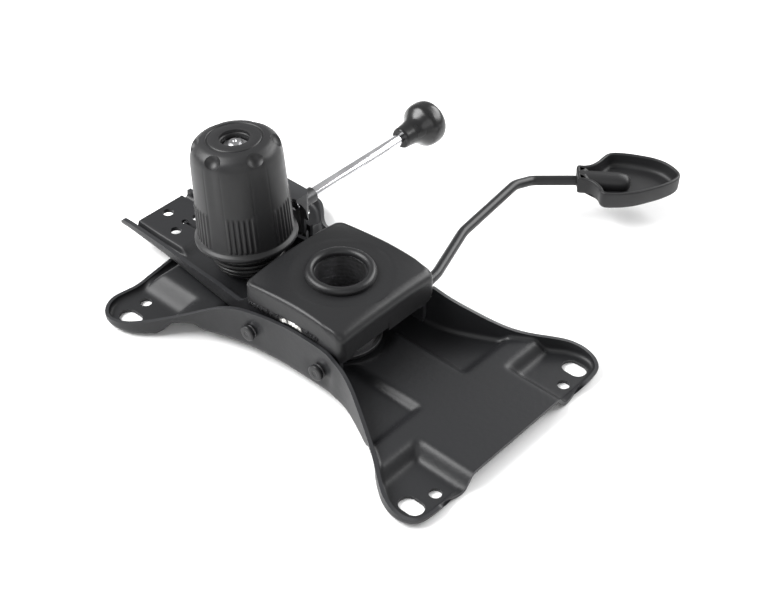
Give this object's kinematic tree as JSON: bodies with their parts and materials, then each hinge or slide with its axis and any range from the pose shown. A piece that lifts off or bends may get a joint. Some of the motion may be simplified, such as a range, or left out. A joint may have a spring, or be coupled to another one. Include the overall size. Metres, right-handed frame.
{
  "type": "chair push back mechanism",
  "caption": "Office chair push back tilt mechanism: pressed seat plate with flanges, hinged arm with column socket, tension knob, tilt lock lever and bent gas lever with paddle",
  "frame": {"origin": "middle of the four seat slots, on the face that bolts to the seat", "axes": "+Z points away from the seat, along the gas column; -X is the tension knob end; +Y is the side of both levers"},
  "size_m": [0.2724, 0.3036, 0.0984],
  "materials": {
    "coated_steel": "black powder coat, satin with a fine grain",
    "zinc_steel": "zinc plated, dull",
    "weld_metal": "bare weld bead, rippled",
    "black_plastic": "moulded, fine matt grain",
    "gloss_black_plastic": "moulded, half gloss",
    "black_rubber": "matt",
    "spring_steel": "black oxide, oiled",
    "grey_steel": "grey coated sheet",
    "chrome_rod": "polished chrome"
  },
  "bodies": {
    "seat_frame": {"seat_plate": "coated_steel", "pivot_rivets": "coated_steel", "stop_rivets": "coated_steel", "rivet_washers": "zinc_steel", "bolt_anchor": "zinc_steel", "rest_bumper": "black_rubber", "lock_keeper": "coated_steel"},
    "arm": {"arm_channel": "coated_steel", "column_housing": "coated_steel", "socket_tube": "zinc_steel", "socket_lip": "coated_steel", "weld_beads": "weld_metal", "pivot_bushes": "black_plastic", "seat_spacer": "zinc_steel", "spring_cup": "black_plastic", "lock_bracket": "grey_steel", "lock_sleeve": "grey_steel", "lever_cradle": "coated_steel"},
    "bolt": {"tension_bolt": "zinc_steel"},
    "spring_seat": {"thrust_washer": "zinc_steel", "tension_spring": "spring_steel"},
    "knob": {"knob_shell": "black_plastic", "knob_nut": "zinc_steel"},
    "lock_lever": {"lock_rod": "chrome_rod", "lock_rod_knob": "gloss_black_plastic", "lock_tongue": "zinc_steel"},
    "gas_lever": {"gas_lever_rod": "coated_steel", "gas_lever_paddle": "black_plastic", "lever_pin": "zinc_steel"}
  },
  "joints": [
    {"name": "arm_tilt", "type": "hinge", "parent": "seat_frame", "child": "arm", "pos_m": [0.015, 0, 0.0175], "axis": [0, 1, 0], "range_deg": [0, 8], "stiffness_Nm_per_rad": 120, "springref_deg": -5.73, "deforming": ["tension_spring"]},
    {"name": "bolt_tilt", "type": "hinge", "parent": "seat_frame", "child": "bolt", "pos_m": [-0.07395, 0, 0.0034], "axis": [0, 1, 0], "range_deg": [0, 8.1]},
    {"name": "knob_rise", "type": "slide", "parent": "bolt", "child": "spring_seat", "axis": [-0.0889, 0, 0.996], "range_m": [0, 0.0051], "deforming": ["tension_spring"]},
    {"name": "knob_turn", "type": "hinge", "parent": "spring_seat", "child": "knob", "pos_m": [-0.0769, 0, 0.0364], "axis": [-0.0889, 0, 0.996], "range_deg": [0, 1440]},
    {"name": "lock_slide", "type": "slide", "parent": "arm", "child": "lock_lever", "axis": [0, 1, 0], "range_m": [0, 0.0028]},
    {"name": "gas_lever_lift", "type": "hinge", "parent": "arm", "child": "gas_lever", "pos_m": [0.0189, 0.03, 0.0277], "axis": [-1, 0, 0], "range_deg": [0, 4], "stiffness_Nm_per_rad": 4, "springref_deg": -5.73}
  ],
  "couplings": [
    {"joint": "bolt_tilt", "follows": "arm_tilt", "ratio": 1},
    {"joint": "knob_rise", "follows": "knob_turn", "m_per_rad": 0.00019894}
  ]
}
